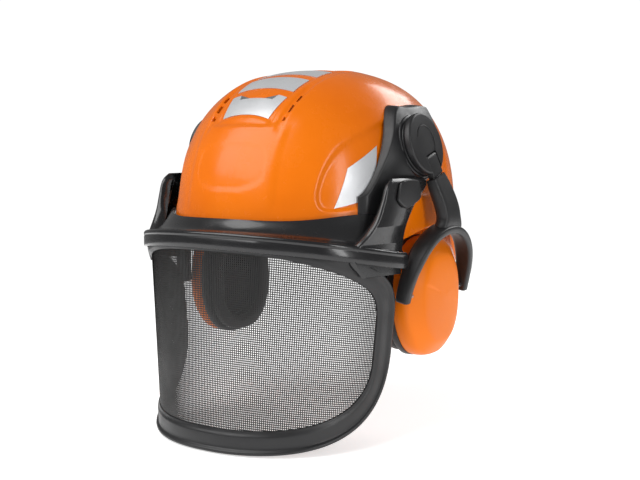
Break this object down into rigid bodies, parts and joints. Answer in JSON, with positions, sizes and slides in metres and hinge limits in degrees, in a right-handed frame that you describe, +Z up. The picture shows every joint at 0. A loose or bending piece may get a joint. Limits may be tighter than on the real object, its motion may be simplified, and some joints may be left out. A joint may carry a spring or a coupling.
{
  "type": "forestry helmet",
  "caption": "Forestry safety helmet in a child's size: domed shell, tilting mesh visor on a brow guard, and ear muffs on hinged sliding arms.",
  "frame": {"origin": "inside the head cavity, in the shell's middle plane, at the level where the brow guard meets the shell", "axes": "+X the wearer's left, -Y the way the face looks, +Z up"},
  "size_m": [0.2418, 0.2656, 0.2717],
  "materials": {
    "orange_plastic": "glossy moulded plastic",
    "black_gloss": "glossy moulded plastic",
    "black_satin": "satin moulded plastic",
    "grey_plastic": "satin moulded plastic",
    "wire_mesh": "woven, coated black",
    "silver_film": "silver reflective film",
    "steel": "bright steel",
    "foam": "soft black foam and skin",
    "webbing": "woven strap"
  },
  "bodies": {
    "shell": {"outer_shell": "orange_plastic", "crown_film_front": "silver_film", "crown_film_middle": "silver_film", "crown_film_rear": "silver_film", "head_band": "grey_plastic", "sweat_band": "foam", "crown_strap_a": "webbing", "crown_strap_b": "webbing", "suspension_clip_front_left": "grey_plastic", "suspension_clip_rear_left": "grey_plastic", "suspension_clip_rear_right": "grey_plastic", "suspension_clip_front_right": "grey_plastic", "side_film_left": "silver_film", "side_plate_left": "black_satin", "visor_pivot_pin_left": "steel", "muff_pivot_base_left": "black_satin", "muff_pivot_bolt_left": "steel", "side_film_right": "silver_film", "side_plate_right": "black_satin", "visor_pivot_pin_right": "steel", "muff_pivot_base_right": "black_satin", "muff_pivot_bolt_right": "steel"},
    "visor": {"brow_guard": "black_gloss", "visor_frame": "black_gloss", "visor_mesh": "wire_mesh", "visor_pivot_cap_left": "black_satin", "visor_pivot_cap_right": "black_satin"},
    "nape": {"nape_cradle": "grey_plastic"},
    "knob": {"ratchet_knob": "black_satin"},
    "muff_disc_left": {"muff_pivot_disc_left": "black_satin", "muff_hinge_pin_left": "steel"},
    "muff_arm_left": {"muff_arm_left": "black_satin"},
    "muff_yoke_left": {"muff_yoke_left": "black_satin", "cup_pin_front_left": "steel", "cup_pin_rear_left": "steel"},
    "ear_cup_left": {"ear_cup_shell_left": "orange_plastic", "ear_cup_plate_left": "black_satin", "ear_cushion_left": "foam", "ear_cup_foam_left": "foam"},
    "muff_disc_right": {"muff_pivot_disc_right": "black_satin", "muff_hinge_pin_right": "steel"},
    "muff_arm_right": {"muff_arm_right": "black_satin"},
    "muff_yoke_right": {"muff_yoke_right": "black_satin", "cup_pin_front_right": "steel", "cup_pin_rear_right": "steel"},
    "ear_cup_right": {"ear_cup_shell_right": "orange_plastic", "ear_cup_plate_right": "black_satin", "ear_cushion_right": "foam", "ear_cup_foam_right": "foam"}
  },
  "joints": [
    {"name": "visor_tilt", "type": "hinge", "parent": "shell", "child": "visor", "pos_m": [0, -0.04, 0.03], "axis": [-1, 0, 0], "range_deg": [0, 85]},
    {"name": "muff_swing_left", "type": "hinge", "parent": "shell", "child": "muff_disc_left", "pos_m": [0.105, -0.01, 0.0645], "axis": [0.9659, 0, 0.2588], "range_deg": [0, 12]},
    {"name": "muff_standoff_left", "type": "hinge", "parent": "muff_disc_left", "child": "muff_arm_left", "pos_m": [0.1049, -0.00687, 0.05388], "axis": [0.0757, -0.9563, -0.2824], "range_deg": [0, 25]},
    {"name": "muff_height_left", "type": "slide", "parent": "muff_arm_left", "child": "muff_yoke_left", "axis": [0.2475, 0.2924, -0.9237], "range_m": [0, 0.018]},
    {"name": "cup_tilt_left", "type": "hinge", "parent": "muff_yoke_left", "child": "ear_cup_left", "pos_m": [0.104, 0.003, -0.045], "axis": [0, 1, 0], "range_deg": [-8, 8]},
    {"name": "muff_swing_right", "type": "hinge", "parent": "shell", "child": "muff_disc_right", "pos_m": [-0.105, -0.01, 0.0645], "axis": [0.9659, 0, -0.2588], "range_deg": [0, 12]},
    {"name": "muff_standoff_right", "type": "hinge", "parent": "muff_disc_right", "child": "muff_arm_right", "pos_m": [-0.1049, -0.00687, 0.05388], "axis": [0.0757, 0.9563, 0.2824], "range_deg": [0, 25]},
    {"name": "muff_height_right", "type": "slide", "parent": "muff_arm_right", "child": "muff_yoke_right", "axis": [-0.2475, 0.2924, -0.9237], "range_m": [0, 0.018]},
    {"name": "cup_tilt_right", "type": "hinge", "parent": "muff_yoke_right", "child": "ear_cup_right", "pos_m": [-0.104, 0.003, -0.045], "axis": [0, 1, 0], "range_deg": [-8, 8]},
    {"name": "nape_slide", "type": "slide", "parent": "shell", "child": "nape", "axis": [0, -1, 0], "range_m": [0, 0.008]},
    {"name": "knob_turn", "type": "hinge", "parent": "nape", "child": "knob", "pos_m": [0, 0.0938, -0.034], "axis": [0, 1, 0], "range_deg": [0, 180]}
  ],
  "couplings": [
    {"joint": "nape_slide", "follows": "knob_turn", "m_per_rad": 0.0025465}
  ]
}
